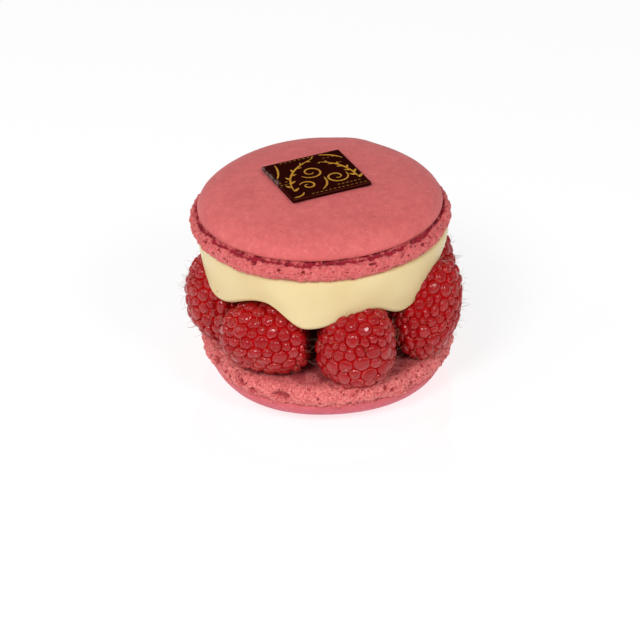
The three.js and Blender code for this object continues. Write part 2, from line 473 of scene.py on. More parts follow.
def outlineOf(shell, angles):
    outline = 0
    for times, start, height in shell["waves"]:
        outline = outline + height * np.cos(times * angles + math.radians(start))
    for middle, halfWidth, height in shell["corners"]:
        off = (angles - math.radians(middle) + math.pi) % (2 * math.pi) - math.pi
        outline = outline + height * np.exp(-(off / math.radians(halfWidth)) ** 2)
    return outline


def capHeight(shell, out):
    rise = shell["shoulderRise"] * np.sqrt(1 - out ** shells["shoulderFullness"])
    return rise + shell["domeRise"] * (1 - out**2)


def shellHeight(shell):
    return shell["footHeight"] + capHeight(shell, shell["restRadius"] / shell["radius"])


def shellObject(name, shell):  # cap up, with its underside at height 0
    segments = shells["segments"]
    angles = 2 * math.pi * np.arange(segments) / segments
    edge = shell["radius"] + outlineOf(shell, angles)
    capEdge = edge - shell["capInset"] + shell["capShift"] * np.sin(angles)
    foot = shell["footHeight"]
    level = np.ones(segments)
    seatEdge = edge - shells["footUndercut"]
    seatShares = 1 - (1 - np.linspace(0.06, 0.985, 21)) ** 1.4
    seatRings = [[seatEdge * share, 0 * level] for share in seatShares]
    footRings = smoothPath([
        [seatEdge, 0 * level],
        [edge - shells["footRounding"] - 0.3, 0.12 * foot * level],
        [edge, 0.42 * foot * level],
        [edge - 0.25, 0.68 * foot * level],
        [edge - 1.3, 0.86 * foot * level],
        [capEdge - shell["creaseDepth"], 0.95 * foot * level],
    ], 46)
    lipRings = smoothPath([
        [capEdge - 0.85 * shell["creaseDepth"], (foot + 0.02) * level],
        [capEdge - 0.4 * shell["creaseDepth"], (foot + 0.06) * level],
        [capEdge - 0.1, (foot + 0.45) * level],
    ], 6)
    inner = shell["restRadius"] / shell["radius"]
    steps = np.linspace(0.13, 1, 30)
    capRings = []
    for step in steps:
        out = 1 - (1 - inner) * step**3
        capRings.append([capEdge * max(out, 0.012), foot + capHeight(shell, out) * level])
    if shell["restRadius"]:
        top = shellHeight(shell) * level
        capRings += [[capEdge * inner * share, top] for share in (0.8, 0.6, 0.4, 0.2)]
    rings = seatRings + footRings + lipRings + capRings
    points, faces = turnedSurface(rings)
    piece = meshObject(name, points, faces)
    seat = [1] * len(seatRings) + [0.7, 0.5, 0.3, 0.15] + [0] * (len(rings) - len(seatRings) - 4)
    setAttribute(piece, "seat", perVertex([share * level for share in seat]))
    creaseRing = len(seatRings) + len(footRings)
    profile = np.array([[ring[0].mean(), ring[1].mean()] for ring in rings])
    along = np.cumsum(np.hypot(*np.diff(profile, axis=0, prepend=profile[:1]).T))
    along -= along[creaseRing]
    setAttribute(piece, "along", perVertex([distance * mm * level for distance in along]))
    return piece


def markHollows(piece, hollows, middle):  # 1 in the middle of each torn place, 0 at its rim
    points = pointsOf(piece)
    x, y, z = (points - np.array([*middle, 0])).T
    angles, radius = np.degrees(np.arctan2(y, x)), np.hypot(x, y)
    depth = np.zeros(len(points))
    for angle, height, width, rise in hollows:
        across = np.radians((angles - angle + 180) % 360 - 180) * radius / (width / 2)
        up = (z - height) / (rise / 2)
        depth = np.maximum(depth, np.clip(1 - (across**2 + up**2) / 2, 0, 1) * (radius > 25))
    setAttribute(piece, "hollow", depth)


def makeFoamTree(material):
    tree, source = newTree("macaronFoam", dict(shells["relief"], Seed=1))
    spot = seededPlace(source["Seed"], (0.017, 0.031, 0.023))
    along, seat, hollow = (namedField(tree, name) for name in ("along", "seat", "hollow"))

    def wave(size, share=1.0, detail=2.0):  # noise from -0.5 to 0.5, in waves of a share of a size
        return noise(spot, 1.0 / (source[size] * share), detail, 0.6)["Fac"] - 0.5

    fine = wave("Crumb Size", 0.5, 3.0)
    edge = wave("Swell Size", 0.7) + fine * 0.3
    foam = ramp(along + edge * source["Border Wobble"], 0.00015, -0.00015)
    lively = foam * (1.0 - seat * 0.6)

    warp = noise(spot, 1.0 / source["Crumb Size"])["Color"]
    warped = vectorCalc("ADD", spot, scaled(warp, source["Crumb Size"]))
    lump = cells(warped, 1.0 / source["Crumb Size"])["Distance"]
    crumbs = 0.5 - lump + fine * 1.6
    lift = crumbs * source["Crumb Height"] + wave("Swell Size") * source["Swell Height"] * 2.0

    grid = cells(vectorCalc("ADD", warped, (0.011, 0.007, 0.019)), 1.0 / source["Pore Spacing"])
    draw = addNode(tree, "FunctionNodeSeparateColor", {"Color": grid["Color"]})
    reach = source["Pore Radius"] / source["Pore Spacing"] * (draw["Green"] + 0.5)
    pore = ramp(grid["Distance"] / reach, 1.2, 0.6) * (draw["Red"] < 0.75) * lively
    torn = ramp(hollow + fine * 0.7, 0.4, 0.7) * (hollow > 0.02)

    middle = along + source["Crack Below"] + wave("Swell Size", 0.7) * source["Crack Wobble"]
    middle = middle + fine * source["Crack Width"] * 1.6
    wide = source["Crack Width"] * (wave("Swell Size", 0.4) * 3.4 + 0.85)
    crack = ramp(calc("ABSOLUTE", middle) - wide, 0.0001, -0.0003)
    crack = crack * ramp(source["Crack Depth"], 0.0, 0.0001) * (along < 0.0008)

    height = lift * lively + wave("Ripple Size") * source["Ripple Height"] * (1.0 - foam)
    height = height + foam * source["Border Step"]
    for hole, depth in ((pore, "Pore Depth"), (torn, "Hollow Depth"), (crack, "Crack Depth")):
        height = height - hole * source[depth]
    # painted shade in the valleys between crumbs
    valley = ramp(crumbs, 0.0, -0.6) * foam * 0.4
    formed = pushedOut(source["Geometry"], height)
    # Marks where shade is painted: pores, crumb valleys, torn hollows and the crack under the cap.
    formed = stored(formed, "pitShade", largest(pore * 0.85, valley, torn * 0.75, crack))
    return finishTree(tree, stored(formed, "foam", foam), material)


def makeShellMaterial():
    material, tree, shader = newMaterial(
        "almondShell", Roughness=0.72, Subsurface_Weight=0.1, Subsurface_Radius=(1.0, 0.35, 0.3),
        Subsurface_Scale=0.0008, Specular_IOR_Level=0.3, Sheen_Weight=0.1, Sheen_Roughness=0.5,
    )
    foam, pitShade, seat = (ownAttribute(tree, name) for name in ("foam", "pitShade", "seat"))
    spot = place(tree)
    height = partsOf(spot)["Z"]
    patch = ramp(noise(spot, 85.0, 3.0)["Fac"], 0.35, 0.7)
    # pinholes: their dark colour is a painted shade of tiny holes; they also dent the bump
    pinholes = largest(specks(tree, 1.6, 0.24, 0.85), specks(tree, 0.9, 0.3, 0.4))
    wet = seat * ramp(noise(spot, 260.0, 3.0)["Fac"], 0.36, 0.6) * ramp(fromAxis(spot), 0.037, 0.03)
    skin = layered(
        shells["skin"],
        (patch * 0.35, shells["skinDeep"]),
        # painted shade and sheen: the lower shell's underside darker and more purple towards the bottom
        (ramp(height, 0.009, 0.002) * 0.9, shells["underShadeAndSheen"]),
        (ramp(grain(tree, 2.4, 1.8), 0.75, 0.25) * 0.4, shells["skinDeep"]),
        (ramp(grain(tree, 1.1, 1.8), 0.5, 1.0) * 0.45, shells["skinLight"]),
        (specks(tree, 2.6, 0.11, 0.55) * 0.75, shells["pitShade"]),
        (specks(tree, 1.5, 0.2, 0.35) * 0.35, shells["skinLight"]),
    )
    crumb = layered(
        shells["crumbDeep"],
        (ramp(grain(tree, 0.6, 1.5), 0.2, 0.8), shells["crumb"]),
        # painted shade: the upper shell's foam is darker, as under the cap's overhang
        (ramp(height, 0.03, 0.045) * 0.45, shells["crumbDeep"]),
        (pinholes * 0.9, shells["pinholeShade"]),
        (wet * 0.75, shells["juiceAndShade"]),
    )
    # painted shade in the pits, hollows and crack, darker in places
    hole = mixColor(ramp(grain(tree, 1.4, 2.0), 0.45, 0.9), shells["pitShade"], shells["pitShadeDeep"])
    plug(shader.inputs["Base Color"], layered(skin, (foam, crumb), (pitShade, hole)))
    linkBump(shader, grain(tree, 0.3) * 0.5 + grain(tree, 1.3) - pinholes * foam * 1.5, 0.5, 0.14)
    return material


def makeShells():
    material = makeShellMaterial()
    foamTree = makeFoamTree(material)
    lower = shellObject("lowerMacaronShell", lowerShell)
    turned = Matrix.Translation((0, 0, shellHeight(lowerShell) * mm)) @ Matrix.Rotation(math.pi, 4, "X")
    lower.data.transform(turned)
    upper = shellObject("upperMacaronShell", upperShell)
    upper.data.transform(upperMatrix())
    for piece, shell, middle, node in (
        (lower, lowerShell, (0, 0), "lower_shell"),
        (upper, upperShell, upperPlace["middle"], "upper_shell"),
    ):
        markHollows(piece, shell["hollows"], middle)
        piece = applyTree(piece, foamTree, dict(shells["relief"], Seed=shell["seed"], **shell["relief"]))
        dress(piece, material, "shell", node)
    say("two almond shells")


def upperMatrix():
    x, y = upperPlace["middle"]
    lean = Matrix.Rotation(-math.radians(upperPlace["lean"]), 4, "Y")
    return Matrix.Translation((x * mm, y * mm, upperPlace["bottom"] * mm)) @ lean


makeShells()


# Raspberries

berries = [  # the middle is a place on the lower shell, and the tip is the direction of the closed end
    dict(middle=(8.5, -28.2), length=25, width=22.6, tip=(0.1, -0.25, 1), fullness=2.5, drupelets=124),
    dict(middle=(-16.7, -22.2), length=27.6, width=22.4, tip=(-1, 0.1, -0.1), fullness=2.5, drupelets=136),
    dict(middle=(-29.6, -2), length=28, width=23.4, tip=(-0.25, 0, 1), fullness=2.25, drupelets=176),
    dict(middle=(-20.4, 21), length=25.5, width=23, tip=(-0.2, 0.3, 1), fullness=2.1, drupelets=150),
    dict(middle=(5.4, 29), length=25, width=23, tip=(0.1, 0.4, 1), fullness=2.1, drupelets=140),
    dict(middle=(26.8, 14.4), length=28.5, width=22.4, tip=(0.15, 0.1, 1), fullness=2.2, drupelets=170),
    dict(middle=(27.6, -12), length=32, width=22.2, tip=(-0.1, -0.5, -1), fullness=2.15, drupelets=204),
]
raspberry = {
    "taper": 0.14,
    "openEnd": 0.82,
    "unevenness": 0.38,  # how much drupelets differ in size
    "disorder": 0.08,  # how far their first places are from an even spiral
    "spread": 1.9,  # room of a drupelet, by the side of its share of the berry
    "rounds": 110,  # of pushing them apart, each time by a share of the room they lack
    "push": 0.015,
    "firstSeed": 101,
    "cushion": {
        "Groove Depth": 0.0011,
        "Top Share": 0.9,
        "Crown Share": 0.5,
        "Steepness": 1.25,
        "Rounding": 0.35,
        "Proud": 0.00026,
        "Wrinkle": 0.00006,
    },
    "settle": 0.35,  # how far it sinks into the foam below
    # the grooves a brighter, purer red than the walls: a painted glow of light through the fruit
    "creviceGlow": linear(182, 0, 8),
    "flesh": linear(170, 2, 10),
    # the tops' duller, greyer red: partly the berry's bloom, partly a painted sheen
    "bloom": linear(154, 10, 18),
    # a lighter ring at each drupelet's top: a painted highlight
    "rimHighlight": linear(226, 88, 82),
}


def berryPoint(berry, directions):  # on the berry's outer form, tip at +Z
    power = berry["fullness"]  # 2 is an ellipsoid, more is fuller at its shoulders
    x, y, z = directions.T
    full = (np.hypot(x, y) ** power + np.abs(z) ** power) ** (-1 / power)
    x, y, z = (directions * full[:, None]).T
    across = berry["width"] / 2 * (1 - raspberry["taper"] * z)
    up = np.maximum(z, -raspberry["openEnd"]) * berry["length"] / 2
    return np.stack([x * across, y * across, up], axis=1)


def spreadDrupelets(berry, seed):  # directions of a berry's drupelets, pushed apart by their own sizes
    random = np.random.default_rng(seed)
    count = berry["drupelets"]
    index = np.arange(count)
    up = 1 - (2 * index + 1) / count
    turn = index * math.pi * (3 - math.sqrt(5))
    across = np.sqrt(1 - up**2)
    directions = np.stack([across * np.cos(turn), across * np.sin(turn), up], axis=1)
    directions += raspberry["disorder"] * random.normal(size=(count, 3))
    sizes = 1 + raspberry["unevenness"] * random.uniform(-1, 1, count)
    spacing = raspberry["spread"] * math.sqrt(berry["width"] * berry["length"] / count)
    for _ in range(raspberry["rounds"]):
        directions /= np.linalg.norm(directions, axis=1, keepdims=True)
        points = berryPoint(berry, directions)
        apart = points[:, None, :] - points[None, :, :]
        distance = np.linalg.norm(apart, axis=2) + np.eye(count) * 1e6
        room = spacing / 2 * (sizes[:, None] + sizes[None, :])
        push = np.clip(room - distance, 0, None) / distance
        directions += raspberry["push"] * (push[:, :, None] * apart).sum(axis=1)
    return directions / np.linalg.norm(directions, axis=1, keepdims=True)


def outwardOf(berry, directions):  # the direction that each place of the berry's form faces
    slant = np.array([1 / berry["width"], 1 / berry["width"], 1 / berry["length"]])
    outward = berryPoint(berry, directions) * slant**2
    return outward / np.linalg.norm(outward, axis=1, keepdims=True)


def shrunkFaces(geometry, selection, share, rise):  # a smaller face in each chosen one, marked with a rise
    tree = treeOf(geometry)
    raised = addNode(tree, "GeometryNodeExtrudeMesh", {
        "Mesh": geometry, "Selection": selection, "Offset Scale": 0.0, "Individual": True,
    }, mode="FACES")
    top = raised["Top"]
    values = {"Geometry": raised["Mesh"], "Selection": top, "Scale": share}
    small = geo(tree, "ScaleElements", values, domain="FACE")
    return stored(small, "rise", rise, top), top


def faceDraw(geometry, name, seed):  # one random value between 0 and 1 for each face
    return stored(geometry, name, randomField(0.0, 1.0, seed), domain="FACE")


def makeDrupeletTree(material):
    sizes = dict(raspberry["cushion"], Length=0.025, Width=0.022, Taper=0.14, Seed=1)
    sizes.update({"Open End": raspberry["openEnd"], "Fullness": 2.2})
    tree, source = newTree("drupeletCushions", sizes)
    hull = geo(tree, "ConvexHull", {"Geometry": source["Geometry"]})
    drawn = faceDraw(geo(tree, "DualMesh", {"Mesh": hull}), "tone", source["Seed"])
    drawn = faceDraw(drawn, "proud", source["Seed"] + 50)
    proud, level = namedField(tree, "proud"), namedField(tree, "rise")
    tops, top = shrunkFaces(drawn, True, source["Top Share"] * ramp(proud, 0.0, 1.0, 0.92, 1.08), 1.0)
    crowns, _ = shrunkFaces(tops, top, source["Crown Share"], 2.0)
    crease = (level < 0.01) + calc("COMPARE", level, 1.0, 0.01) * source["Rounding"]
    fine = geo(tree, "SubdivisionSurface", {"Mesh": crowns, "Level": 2, "Edge Crease": crease})

    direction = vectorCalc("NORMALIZE", geo(tree, "InputPosition"))
    rise = level * 0.5
    groove = calc("SUBTRACT", 1.0, rise, use_clamp=True) ** source["Steepness"]
    wrinkle = noise(direction, 14.0)["Fac"] - 0.5
    lift = ((proud - 0.5) * source["Proud"] * 2.0 + wrinkle * source["Wrinkle"]) * rise
    lift = lift - groove * source["Groove Depth"]

    power = source["Fullness"]
    upright = calc("ABSOLUTE", partsOf(direction)["Z"])
    full = (fromAxis(direction) ** power + upright ** power) ** (-1.0 / power)
    part = partsOf(scaled(direction, full))
    across = source["Width"] * 0.5 * (1.0 - part["Z"] * source["Taper"]) + lift
    up = largest(part["Z"], source["Open End"] * -1.0) * (source["Length"] * 0.5 + lift)
    spot = vectorOf(tree, X=part["X"] * across, Y=part["Y"] * across, Z=up)
    return finishTree(tree, geo(tree, "SetPosition", {"Geometry": fine, "Position": spot}), material)


def makeRaspberryMaterial():
    material, tree, shader = newMaterial(
        "raspberryFlesh", Roughness=0.5, Subsurface_Weight=0.35, Subsurface_Radius=(1.0, 0.05, 0.04),
        Subsurface_Scale=0.0014, Specular_IOR_Level=0.05, Coat_Roughness=0.12, Coat_IOR=1.5,
    )
    rise, tone = ownAttribute(tree, "rise") * 0.5, ownAttribute(tree, "tone")
    mottle = noise(place(tree), 900.0, 3.0)["Fac"]
    # duller tops: partly bloom, partly a painted sheen
    hazeAndSheen = ramp(rise, 0.3, 0.5) * ramp(mottle, 0.2, 0.75, 0.45, 0.95) * ramp(tone, 0.0, 1.0, 0.3, 1.0)
    # a painted highlight ring round each top
    rimHighlight = ramp(rise, 0.18, 0.3) * ramp(rise, 0.5, 0.36)
    color = layered(
        # painted glow of light through the fruit in the grooves
        raspberry["creviceGlow"],
        (ramp(rise, 0.02, 0.3), raspberry["flesh"]),
        (hazeAndSheen, raspberry["bloom"]),
        (rimHighlight * ramp(mottle, 0.3, 0.7) * 0.75, raspberry["rimHighlight"]),
    )
    plug(shader.inputs["Base Color"], color)
    plug(shader.inputs["Coat Weight"], ramp(rise, 0.1, 0.25) * ramp(hazeAndSheen, 0.2, 0.9, 1.0, 0.5))
    linkBump(shader, grain(tree, 0.45), 0.2, 0.1)
    return material


def makeRaspberry(index, tree, material):
    berry = berries[index]
    seed = raspberry["firstSeed"] + index
    directions = spreadDrupelets(berry, seed)
    piece = meshObject(f"raspberry{index + 1}", directions / mm, [])  # a ball of 1 m, which the tree forms
    piece = applyTree(piece, tree, dict(raspberry["cushion"], **{
        "Length": berry["length"] * mm, "Width": berry["width"] * mm, "Taper": raspberry["taper"],
        "Open End": raspberry["openEnd"], "Fullness": berry["fullness"], "Seed": seed,
    }))
    turn = Vector((0, 0, 1)).rotation_difference(Vector(berry["tip"])).to_matrix()
    piece.data.transform(turn.to_4x4())
    x, y = berry["middle"]
    low = pointsOf(piece)[:, 2].min()
    drop = Vector((x, y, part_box("lower_shell")[1].z / mm - raspberry["settle"] - low))
    piece.data.transform(Matrix.Translation(drop * mm))
    dress(piece, material, "raspberry", f"raspberry_{index + 1}")
    rotate = np.array(turn).T
    return berryPoint(berry, directions) @ rotate + np.array(drop), outwardOf(berry, directions) @ rotate


def makeRaspberries():
    material = makeRaspberryMaterial()
    tree = makeDrupeletTree(material)
    roots, outward = zip(*(makeRaspberry(index, tree, material) for index in range(len(berries))))
    say("seven raspberries")
    return np.vstack(roots), np.vstack(outward)


hairRoots, hairOutward = makeRaspberries()


# Fine dry hairs of the raspberries

hairs = {
    "length": 2.3,
    "thickness": 0.05,
    "bend": 0.9,
    "copies": 2,
    "scatter": 1.1,  # how far roots lie from a drupelet's middle
    "rootDepth": 0.5,
    "lowest": 14,  # none grow below this height, nor on sides that face the middle
    "inward": -0.1,
    "seed": 71,
    "color": linear(186, 134, 108),
    "colorDeep": linear(150, 96, 84),
}


def makeHairTree(material):
    tree, source = newTree("fineHairs", {"Length": 0.002, "Thickness": 0.00004, "Bend": 0.5, "Seed": 1})
    reach, seed = source["Length"], source["Seed"]
    curve = geo(tree, "CurveQuadraticBezier", {
        "Resolution": 6, "Start": (0.0, 0.0, 0.0), "Middle": vectorOf(tree, Z=reach * 0.6),
        "End": vectorOf(tree, X=reach * source["Bend"], Z=reach),
    })
    ring = geo(tree, "CurvePrimitiveCircle", {"Resolution": 3, "Radius": source["Thickness"]})
    taper = 1.0 - geo(tree, "SplineParameter") * 0.7
    hair = geo(tree, "CurveToMesh", {
        "Curve": curve, "Profile Curve": ring, "Scale": taper, "Fill Caps": True,
    })
    outward = namedField(tree, "outward", "FLOAT_VECTOR")
    upright = make(tree, "FunctionNodeAlignRotationToVector", {"Vector": outward}, axis="Z")
    aside, ahead = randomField(-0.7, 0.7, seed + 3), randomField(-0.7, 0.7, seed + 5)
    tilt = vectorOf(tree, X=aside, Y=ahead, Z=randomField(0.0, 6.28, seed + 11))
    planted = geo(tree, "InstanceOnPoints", {
        "Points": source["Geometry"], "Instance": hair, "Rotation": turnedBy(upright, tilt),
        "Scale": randomField(0.45, 1.15, seed + 17),
    })
    return finishTree(tree, planted, material)


def turnedBy(rotation, euler):
    tree = treeOf(rotation)
    turn = make(tree, "FunctionNodeEulerToRotation", {"Euler": euler})
    values = {"Rotation": rotation, "Rotate By": turn}
    return make(tree, "FunctionNodeRotateRotation", values, rotation_space="LOCAL")


def makeHairs():
    random = np.random.default_rng(hairs["seed"])
    material, tree, shader = newMaterial(
        "dryHair", Roughness=0.6, Subsurface_Weight=0.2, Subsurface_Scale=0.0003,
    )
    tone = noise(place(tree), 400.0)["Fac"]
    plug(shader.inputs["Base Color"], mixColor(tone, hairs["color"], hairs["colorDeep"]))
    roots = np.repeat(hairRoots, hairs["copies"], axis=0)
    outward = np.repeat(hairOutward, hairs["copies"], axis=0)
    aside = random.normal(size=roots.shape)
    roots += hairs["scatter"] * (aside - (aside * outward).sum(axis=1, keepdims=True) * outward)
    away = roots[:, :2] / np.linalg.norm(roots[:, :2], axis=1, keepdims=True)
    facing = (outward[:, :2] * away).sum(axis=1)
    chosen = (facing > hairs["inward"]) & (roots[:, 2] > hairs["lowest"])
    piece = meshObject("raspberryHairs", roots[chosen] - hairs["rootDepth"] * outward[chosen], [])
    setAttribute(piece, "outward", outward[chosen], "FLOAT_VECTOR")
    piece = applyTree(piece, makeHairTree(material), {
        "Length": hairs["length"] * mm, "Thickness": hairs["thickness"] * mm, "Bend": hairs["bend"],
        "Seed": hairs["seed"],
    })
    dress(piece, material, "raspberry")
    say("fine hairs")


makeHairs()


# Vanilla cream

creamHem = [  # angle in degrees, height and radius of the lower edge
    (-153, 29.6, 34.6), (-119, 36.0, 34.6), (-98, 29.6, 34.8), (-66, 34.4, 34.6), (-46, 30.2, 33.8),
    (-16, 35.6, 34.0), (8, 34.0, 34.2), (34, 36.0, 33.8), (57, 31.0, 33.0), (80, 35.6, 33.6),
    (105, 30.4, 33.0), (129, 35.4, 33.6), (154, 30.6, 33.8), (180, 36.0, 35.4),
]
cream = {
    "middle": (-1.2, 1.4),
    "topRadius": 36,
    "coreRadius": 15,
    "roll": 1.4,
    "segments": 560,
    "swellSize": 14.0,
    "swellHeight": 0.25,
    "seed": 5,
    "shadeRadius": 29.5,  # painted shade darkens it inside this radius, more and more over the fade width below
    "shadeFade": 4,
    "light": linear(232, 212, 160),
    "deep": linear(221, 195, 138),
    # dark red painted as shade where the cream's middle shows between the berries
    "juiceAndShade": linear(96, 10, 16),
    "vanilla": linear(60, 34, 18),
}


def hemAt(angles, column):  # swings smoothly from one place of the hem to the next
    places = np.array([place[0] for place in creamHem] + [creamHem[0][0] + 360], float)
    values = np.array([place[column] for place in creamHem] + [creamHem[0][column]], float)
    turn = (np.degrees(angles) - places[0]) % 360 + places[0]
    start = np.clip(np.searchsorted(places, turn, side="right") - 1, 0, len(creamHem) - 1)
    share = (turn - places[start]) / (places[start + 1] - places[start])
    return values[start] + (values[start + 1] - values[start]) * (1 - np.cos(math.pi * share)) / 2


def undersideAt(x):  # the upper shell's underside, which leans
    return upperPlace["bottom"] + math.tan(math.radians(upperPlace["lean"])) * (x - upperPlace["middle"][0])


def creamRings():
    angles = 2 * math.pi * np.arange(cream["segments"]) / cream["segments"]
    hem, hemRadius = hemAt(angles, 1), hemAt(angles, 2)
    roll, topRadius = cream["roll"], cream["topRadius"]
    level = np.ones(len(angles))
    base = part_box("lower_shell")[1].z / mm

    def topAt(radius):
        return undersideAt(cream["middle"][0] + radius * np.cos(angles)) + 0.05

    core = cream["coreRadius"]
    rings = [[core * share * level, base * level] for share in (0.1, 0.5, 0.9)]
    rings += [[core * level, base + (hem - base) * share] for share in np.linspace(0.05, 0.95, 12)]
    rings += [
        [core + (hemRadius - 3 * roll - core) * share, hem + 0.6 * roll * (1 - share**2)]
        for share in np.linspace(0.08, 1, 12)
    ]
    for step in np.linspace(0, 1, 12):
        turn = math.pi / 2 * step
        rings.append([hemRadius - 1.8 * roll * (1 - math.sin(turn)), hem + 1.6 * roll * (1 - math.cos(turn))])
    start, end = hem + 1.6 * roll, topAt(topRadius) - roll
    for share in np.linspace(0.03, 1, 44):
        radius = hemRadius + (topRadius - hemRadius) * math.sin(math.pi / 2 * share)
        rings.append([radius, start + share * (end - start)])
    for step in np.linspace(0.15, 1, 8):
        turn = math.pi / 2 * step
        radius = topRadius - roll * (1 - math.cos(turn))
        rings.append([radius * level, topAt(radius) - roll * (1 - math.sin(turn))])
    rings += [[radius * level, topAt(radius)] for radius in np.linspace(topRadius - roll - 2, 2, 10)]
    return rings


def makeCreamTree(material):
    tree, source = newTree("creamSwell", {"Swell Size": 0.014, "Swell Height": 0.00025, "Seed": 1})
    spot = seededPlace(source["Seed"], (0.013, 0.029, 0.017))
    wave = noise(spot, 1.0 / source["Swell Size"], 1.0)["Fac"] - 0.5
    return finishTree(tree, pushedOut(source["Geometry"], wave * (source["Swell Height"] * 2.0)), material)


def makeCreamMaterial():
    material, tree, shader = newMaterial(
        "vanillaCream", Roughness=0.42, Subsurface_Weight=0.35, Subsurface_Radius=(1.0, 0.75, 0.4),
        Subsurface_Scale=0.0025, Specular_IOR_Level=0.35,
    )
    color = layered(
        cream["light"],
        (ramp(noise(place(tree), 70.0)["Fac"], 0.3, 0.75) * 0.5, cream["deep"]),
        (specks(tree, 5.0, 0.07, 0.9), cream["vanilla"]),
        (ownAttribute(tree, "juiceAndShade"), cream["juiceAndShade"]),
    )
    plug(shader.inputs["Base Color"], color)
    plug(shader.inputs["Roughness"], ramp(grain(tree, 3.0, 1.2), 0.2, 0.8, 0.36, 0.5))
    linkBump(shader, grain(tree, 1.6), 0.12, 0.15)
    return material


def makeCream():
    material = makeCreamMaterial()
    piece = meshObject("vanillaCream", *turnedSurface(creamRings()))
    piece.data.transform(Matrix.Translation(Vector((*cream["middle"], 0)) * mm))
    piece = applyTree(piece, makeCreamTree(material), {
        "Swell Size": cream["swellSize"] * mm, "Swell Height": cream["swellHeight"] * mm,
        "Seed": cream["seed"],
    })
    # the middle of the cream, seen through the gaps between berries, darkened as painted shade
    radius = np.hypot(*(pointsOf(piece)[:, :2] - cream["middle"]).T)
    setAttribute(piece, "juiceAndShade", np.clip((cream["shadeRadius"] - radius) / cream["shadeFade"], 0, 1))
    dress(piece, material, "cream", "cream")
    say("vanilla cream")


makeCream()


# Square of dark chocolate with a gold print

chocolate = {
    "width": 24.3,
    "depth": 22.9,
    "thickness": 0.7,
    "turn": 24,
    "middle": (-0.6, 1.7),
    "bevel": 0.16,
    "count": 49,  # points along a side
    "wearWidth": 2.2,  # of the dull strip at the left edge, and the length over which it sets in
    "wearStart": 5,
    "rimHighlightWidth": 0.2,
    "dark": linear(44, 10, 7),
    "darkest": linear(30, 8, 8),
    # lighter red-brown for the top of the edges: a painted highlight
    "edge": linear(120, 50, 38),
    "bloom": linear(150, 126, 118),
    "gold": linear(226, 162, 32),
    "goldDeep": linear(176, 110, 12),
}
goldPrint = {
    "sizes": {"Width": 0.6, "Relief": 0.05, "Leaf Length": 2.5, "Leaf Width": 0.95},
    "leaves": 10,
}


def squareMatrix():
    x, y = chocolate["middle"]
    top = shellHeight(upperShell) + shellGap + chocolate["thickness"]
    turn = Matrix.Rotation(math.radians(chocolate["turn"]), 4, "Z")
    return upperMatrix() @ Matrix.Translation((x * mm, y * mm, top * mm)) @ turn


def makeChocolateMaterial():
    material, tree, shader = newMaterial(
        "darkChocolate", Roughness=0.35, Specular_IOR_Level=0.0, Subsurface_Weight=0.05,
        Subsurface_Scale=0.0005,
    )
    wear, rimHighlight = ownAttribute(tree, "wear"), ownAttribute(tree, "rimHighlight")
    spot = place(tree)
    cloud = noise(spot, 900.0, 4.0, 0.65)["Fac"]
    dust = ramp(wear + cloud * 2.4, 1.85, 2.4) * ramp(wear, 0.02, 0.3) * 0.65
    color = layered(
        chocolate["dark"],
        (ramp(noise(spot, 160.0)["Fac"], 0.3, 0.8) * 0.3, chocolate["darkest"]),
        # painted highlight along the top of the edges
        (rimHighlight * ramp(cloud, 0.35, 0.6, 0.3, 0.9), chocolate["edge"]),
        (dust, chocolate["bloom"]),
    )
    plug(shader.inputs["Base Color"], color)
    plug(shader.inputs["Roughness"], ramp(dust, 0.0, 0.7, 0.28, 0.65))
    linkBump(shader, grain(tree, 2.2), 0.1, 0.1)
    return material


def makeChocolate():
    material = makeChocolateMaterial()
    halfWidth, halfDepth, count = chocolate["width"] / 2, chocolate["depth"] / 2, chocolate["count"]
    bottom = -chocolate["thickness"] - shellGap + 0.02
    spots = np.linspace(-1, 1, count)
    grid = np.array([[x * halfWidth, y * halfDepth] for y in spots for x in spots])
    upper = np.hstack([grid, np.zeros((len(grid), 1))])
    lower = np.hstack([grid, np.full((len(grid), 1), bottom)])
    cell = np.array([[r * count + c, r * count + c + 1, (r + 1) * count + c + 1, (r + 1) * count + c]
                     for r in range(count - 1) for c in range(count - 1)])
    faces = cell.tolist() + (cell[:, ::-1] + len(grid)).tolist()
    last = count * (count - 1)
    border = list(range(count)) + [r * count + count - 1 for r in range(1, count)]
    border += list(range(last + count - 2, last - 1, -1)) + [r * count for r in range(count - 2, 0, -1)]
    faces += [[b, a, a + len(grid), b + len(grid)] for a, b in zip(border, border[1:] + border[:1])]
    piece = meshObject("chocolateSquare", np.vstack([upper, lower]), faces)
    edges = piece.modifiers.new("edges", "BEVEL")
    edges.width = chocolate["bevel"] * mm
    edges.segments = 3
    edges.limit_method = "ANGLE"
    piece = bakeModifiers(piece)
    x, y, z = pointsOf(piece).T
    fromLeft = np.clip(1 - (x + halfWidth) / chocolate["wearWidth"], 0, 1)
    along = np.clip((y + chocolate["wearStart"]) / chocolate["wearStart"], 0, 1)
    setAttribute(piece, "wear", fromLeft * along)
    # where the painted edge highlight goes: near the sides, at the top of the bevel
    toEdge = np.minimum(halfWidth - np.abs(x), halfDepth - np.abs(y))
    rimHighlight = np.clip(1 - toEdge / chocolate["rimHighlightWidth"], 0, 1) * np.clip(1 + z / chocolate["bevel"], 0, 1)
    setAttribute(piece, "rimHighlight", rimHighlight)
    piece.data.transform(squareMatrix())
    dress(piece, material, "chocolate", "chocolate_square")
    say("chocolate square")


def makeGoldMaterial():
    material, tree, shader = newMaterial("goldPrint", Roughness=0.38, Metallic=0.25, Specular_IOR_Level=0.4)
    thin = ramp(noise(place(tree), 1500.0, 3.0)["Fac"], 0.35, 0.75)
    plug(shader.inputs["Base Color"], mixColor(thin, chocolate["gold"], chocolate["goldDeep"]))
    linkBump(shader, grain(tree, 0.4), 0.2, 0.02)
    return material


